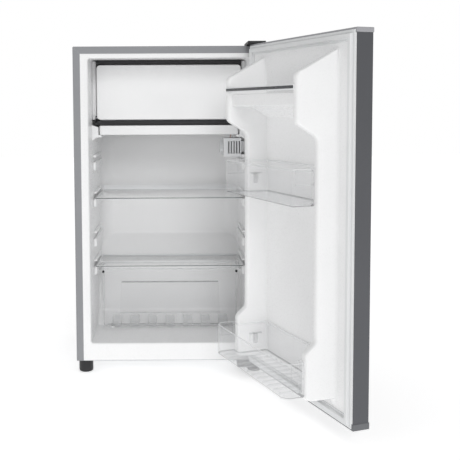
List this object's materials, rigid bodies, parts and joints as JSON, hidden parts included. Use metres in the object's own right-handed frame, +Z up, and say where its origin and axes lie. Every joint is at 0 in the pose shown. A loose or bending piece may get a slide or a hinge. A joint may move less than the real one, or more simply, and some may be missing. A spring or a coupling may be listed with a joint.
{
  "type": "compact refrigerator",
  "caption": "Compact single-door refrigerator standing open, with ice box, drip tray, glass shelves, crisper, door balconies, rear compressor and wire condenser.",
  "frame": {"origin": "on the floor, under the middle of the box round the whole fridge with its door standing open", "axes": "+X to the right and +Y towards the back, seen by someone who stands in front of the fridge; +Z up"},
  "size_m": [0.6327, 0.8695, 0.8306],
  "materials": {
    "wrap_steel": "satin",
    "door_steel": "satin",
    "galvanised_sheet": "satin",
    "hinge_steel": "satin",
    "screw_steel": "satin",
    "black_enamel": "gloss",
    "evaporator_aluminium": "satin",
    "copper": "satin",
    "liner_white": "gloss",
    "flap_white": "gloss",
    "white_plastic": "satin",
    "grey_plastic": "matte",
    "cap_grey": "satin",
    "cap_dark": "satin",
    "black_plastic": "satin",
    "clear_plastic": "gloss",
    "smoked_plastic": "gloss",
    "shelf_glass": "gloss",
    "gasket_vinyl": "matte",
    "magnet_strip": "matte",
    "black_rubber": "matte",
    "foam": "matte"
  },
  "bodies": {
    "cabinet": {"outer_wrap": "wrap_steel", "cabinet_liner": "liner_white", "cabinet_foam": "foam", "back_panel": "galvanised_sheet", "bottom_panel": "galvanised_sheet", "machine_room_panel": "galvanised_sheet", "front_rail": "galvanised_sheet", "evaporator": "evaporator_aluminium", "evaporator_spacers": "white_plastic", "ice_box_frame": "black_plastic", "flap_pins": "screw_steel", "thermostat_housing": "white_plastic", "thermostat_control": "grey_plastic", "sensor_tube": "copper", "top_hinge_plate": "hinge_steel", "top_hinge_cover": "black_plastic", "top_hinge_screws": "screw_steel", "lower_hinge_bracket": "hinge_steel", "lower_hinge_screws": "screw_steel", "hinge_hole_plugs": "grey_plastic", "compressor_deck": "galvanised_sheet", "compressor_lower_shell": "black_enamel", "compressor_upper_shell": "black_enamel", "compressor_legs": "black_enamel", "compressor_grommets": "black_rubber", "compressor_bolts": "screw_steel", "relay_cover": "black_plastic", "discharge_tube": "black_enamel", "suction_tube": "copper", "capillary_tube": "copper", "filter_drier": "copper", "condenser_tube": "black_enamel", "condenser_wires": "black_enamel", "condenser_brackets": "black_plastic", "rear_feet": "black_plastic", "cord_gland": "black_rubber"},
    "door": {"door_outer_panel": "door_steel", "door_top_cap": "cap_grey", "door_bottom_cap": "cap_dark", "door_foam": "foam", "door_liner": "liner_white", "door_gasket": "gasket_vinyl", "gasket_magnets": "magnet_strip", "door_bushes": "white_plastic", "door_retaining_bar": "smoked_plastic"},
    "middle_balcony": {"balcony_mid": "clear_plastic"},
    "low_balcony": {"balcony_bottom": "clear_plastic"},
    "flap": {"ice_box_flap": "flap_white", "flap_insulation": "foam"},
    "tray": {"drip_tray": "flap_white"},
    "upper_shelf": {"upper_shelf_glass": "shelf_glass", "upper_shelf_trim": "white_plastic"},
    "crisper_cover": {"crisper_cover_glass": "shelf_glass", "crisper_cover_trim": "white_plastic"},
    "crisper": {"crisper_drawer": "clear_plastic", "crisper_buffers": "black_rubber"},
    "knob": {"thermostat_knob": "white_plastic"},
    "left_foot": {"front_foot_left": "black_plastic"},
    "right_foot": {"front_foot_right": "black_plastic"}
  },
  "joints": [
    {"name": "door_hinge", "type": "hinge", "parent": "cabinet", "child": "door", "pos_m": [0.14095, 0.00285, 0.424], "axis": [0, 0, 1], "range_deg": [-110, 18]},
    {"name": "flap_hinge", "type": "hinge", "parent": "cabinet", "child": "flap", "pos_m": [-0.08005, 0.12785, 0.6455], "axis": [1, 0, 0], "range_deg": [0, 88]},
    {"name": "tray_slide", "type": "slide", "parent": "cabinet", "child": "tray", "axis": [0, -1, 0], "range_m": [0, 0.16]},
    {"name": "upper_shelf_slide", "type": "slide", "parent": "cabinet", "child": "upper_shelf", "axis": [0, -1, 0], "range_m": [0, 0.16]},
    {"name": "crisper_cover_slide", "type": "slide", "parent": "cabinet", "child": "crisper_cover", "axis": [0, -1, 0], "range_m": [0, 0.12]},
    {"name": "crisper_slide", "type": "slide", "parent": "cabinet", "child": "crisper", "axis": [0, -1, 0], "range_m": [0, 0.15]},
    {"name": "knob_turn", "type": "hinge", "parent": "cabinet", "child": "knob", "pos_m": [0.05895, 0.19485, 0.565], "axis": [1, 0, 0], "range_deg": [-120, 150]},
    {"name": "middle_balcony_lift", "type": "slide", "parent": "door", "child": "middle_balcony", "axis": [0, 0, 1], "range_m": [0, 0.025]},
    {"name": "low_balcony_lift", "type": "slide", "parent": "door", "child": "low_balcony", "axis": [0, 0, 1], "range_m": [0, 0.025]},
    {"name": "left_foot_turn", "type": "hinge", "parent": "cabinet", "child": "left_foot", "pos_m": [-0.29505, 0.06085, 0.024], "axis": [0, 0, 1], "continuous": true},
    {"name": "right_foot_turn", "type": "hinge", "parent": "cabinet", "child": "right_foot", "pos_m": [0.13495, 0.06085, 0.024], "axis": [0, 0, 1], "continuous": true}
  ]
}
